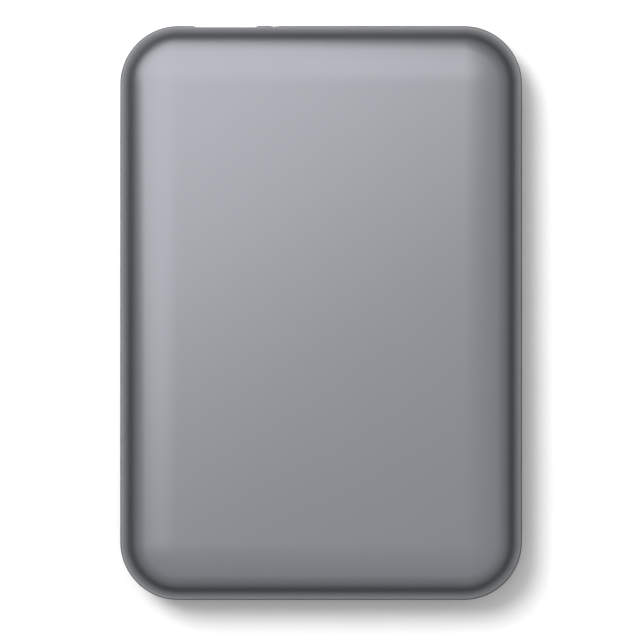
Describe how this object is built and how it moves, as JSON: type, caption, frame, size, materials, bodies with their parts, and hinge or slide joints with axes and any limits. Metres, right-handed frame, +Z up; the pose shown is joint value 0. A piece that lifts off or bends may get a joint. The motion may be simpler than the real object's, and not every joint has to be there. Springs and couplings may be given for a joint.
{
  "type": "portable external hard drive",
  "caption": "Flat pillow-shaped grey plastic housing in two halves, with a data port in one short end and a spinning disc drive inside.",
  "frame": {"origin": "middle of the underside, on the surface that the drive lies on", "axes": "+Y along the length, towards the port; +Z up, through the thickness; +X across the width"},
  "size_m": [0.08, 0.1142, 0.0148],
  "materials": {
    "housing": "grey moulded plastic with a fine spark-eroded grain",
    "clear_plastic": "clear moulded plastic",
    "rubber": "moulded black rubber",
    "foil": "bright aluminium foil",
    "circuit_board": "green solder mask",
    "chip": "black moulded package",
    "ceramic": "fired ceramic",
    "steel": "plain bright steel",
    "cover_steel": "satin stainless sheet",
    "hub_steel": "turned steel",
    "connector_plastic": "black glass-filled plastic",
    "gold": "gold flash",
    "cast_aluminium": "die-cast, machined on its faces",
    "filter_cloth": "white non-woven felt",
    "iron": "nickel-plated soft iron",
    "copper": "enamelled copper wire",
    "bronze": "turned bronze",
    "magnet": "nickel-plated sintered magnet",
    "disc_mirror": "polished and coated",
    "ramp_plastic": "ivory moulded plastic",
    "flex_film": "amber film"
  },
  "bodies": {
    "enclosure": {"top_shell": "housing", "bottom_shell": "housing", "light_pipe": "clear_plastic", "bumper_port_left": "rubber", "bumper_port_right": "rubber", "bumper_far_left": "rubber", "bumper_far_right": "rubber", "shield_foil": "foil", "bridge_board": "circuit_board", "bridge_chip": "chip", "bridge_flash": "chip", "bridge_crystal": "steel", "bridge_passives": "ceramic", "activity_led": "ceramic", "usb_shell": "steel", "usb_tongue": "connector_plastic", "usb_contacts": "gold", "sata_receptacle": "connector_plastic", "sata_receptacle_tails": "gold", "drive_base": "cast_aluminium", "drive_cover": "cover_steel", "cover_gasket": "rubber", "cover_screws": "steel", "breather_filter": "filter_cloth", "air_filter": "filter_cloth", "stator_core": "iron", "stator_windings": "copper", "spindle_sleeve": "bronze", "thrust_plate": "steel", "pivot_shaft": "steel", "pivot_bearing_lower": "steel", "pivot_bearing_upper": "steel", "lower_yoke": "iron", "lower_magnet": "magnet", "upper_magnet": "magnet", "upper_yoke": "iron", "crash_stops": "rubber", "load_ramp": "ramp_plastic", "head_flex": "flex_film", "flex_bracket": "connector_plastic", "drive_board": "circuit_board", "board_screws": "steel", "drive_controller": "chip", "drive_memory": "chip", "motor_driver": "chip", "sata_plug": "connector_plastic", "sata_plug_contacts": "gold"},
    "disc_pack": {"spindle_hub": "hub_steel", "spindle_shaft": "steel", "rotor_magnet": "magnet", "lower_platter": "disc_mirror", "platter_spacer": "hub_steel", "upper_platter": "disc_mirror", "disc_clamp": "hub_steel", "clamp_screws": "steel"},
    "head_stack": {"pivot_sleeve": "steel", "arm_block": "cast_aluminium", "voice_coil": "copper", "suspensions": "steel", "sliders": "ceramic"}
  },
  "joints": [
    {"name": "spindle_spin", "type": "hinge", "parent": "enclosure", "child": "disc_pack", "pos_m": [0, -0.01675, 0.0074], "axis": [0, 0, 1], "continuous": true},
    {"name": "actuator_swing", "type": "hinge", "parent": "enclosure", "child": "head_stack", "pos_m": [-0.015, 0.02625, 0.0074], "axis": [0, 0, -1], "range_deg": [0, 32], "deforming": ["head_flex"]}
  ]
}
